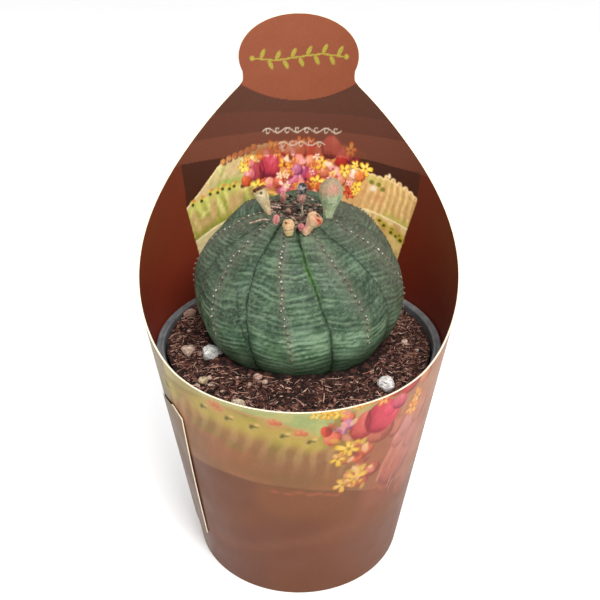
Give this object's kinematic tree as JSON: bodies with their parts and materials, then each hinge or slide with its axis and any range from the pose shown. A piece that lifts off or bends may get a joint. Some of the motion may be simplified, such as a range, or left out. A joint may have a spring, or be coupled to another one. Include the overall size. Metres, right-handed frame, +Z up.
{
  "type": "potted round succulent",
  "caption": "Round ribbed succulent with dry flower stalks, growing in a nursery pot of dark peat inside a conical printed card sleeve with a tall back panel.",
  "frame": {"origin": "centre of the pot's underside, on the pot's axis, at the level it stands on", "axes": "+Z up along the pot's axis; -Y is the front, where the sleeve is low, +Y is its tall back panel; +X is the right seen from the front"},
  "size_m": [0.0932, 0.0995, 0.1569],
  "materials": {
    "pot_grey_plastic": "thin moulded grey plastic, satin, slightly dusty at the rim",
    "printed_card": "carton board with a red-brown print under satin varnish, cream cut edges",
    "dark_peat": "moist dark brown peat with paler fibres and bark chips",
    "plant_skin": "waxy blue-green skin with pale cross bands and dark seams",
    "dried_cup": "dry cream and tan cup skin, matt",
    "pink_bud": "dusty pink bud skin, matt",
    "seed_pod_skin": "grey-green pod skin mottled pink",
    "withered_flower": "dry grey-brown floral remains, matt",
    "dry_stalk": "dry brown stalk, matt",
    "tan_pumice": "tan pumice, rough and pitted",
    "white_perlite": "white expanded perlite, rough and pitted"
  },
  "bodies": {
    "root": {"pot": "pot_grey_plastic", "card_sleeve": "printed_card", "potting_soil": "dark_peat", "succulent_body": "plant_skin", "flower_cup_left": "dried_cup", "flower_cup_front": "dried_cup", "flower_cup_front_right": "dried_cup", "seed_pod": "seed_pod_skin", "withered_flower": "withered_flower", "bud_back": "pink_bud", "bud_left": "pink_bud", "bud_front": "pink_bud", "bud_scar_left": "withered_flower", "bud_scar_right": "dried_cup", "dry_stalk_left": "dry_stalk", "dry_stalk_back": "dry_stalk", "dry_stalk_middle": "dry_stalk", "pumice_rear_left": "tan_pumice", "pumice_left": "tan_pumice", "pumice_front_left": "tan_pumice", "pumice_front": "tan_pumice", "pumice_front_edge": "tan_pumice", "pumice_right": "tan_pumice", "perlite_left": "white_perlite", "perlite_right": "white_perlite"}
  },
  "joints": []
}
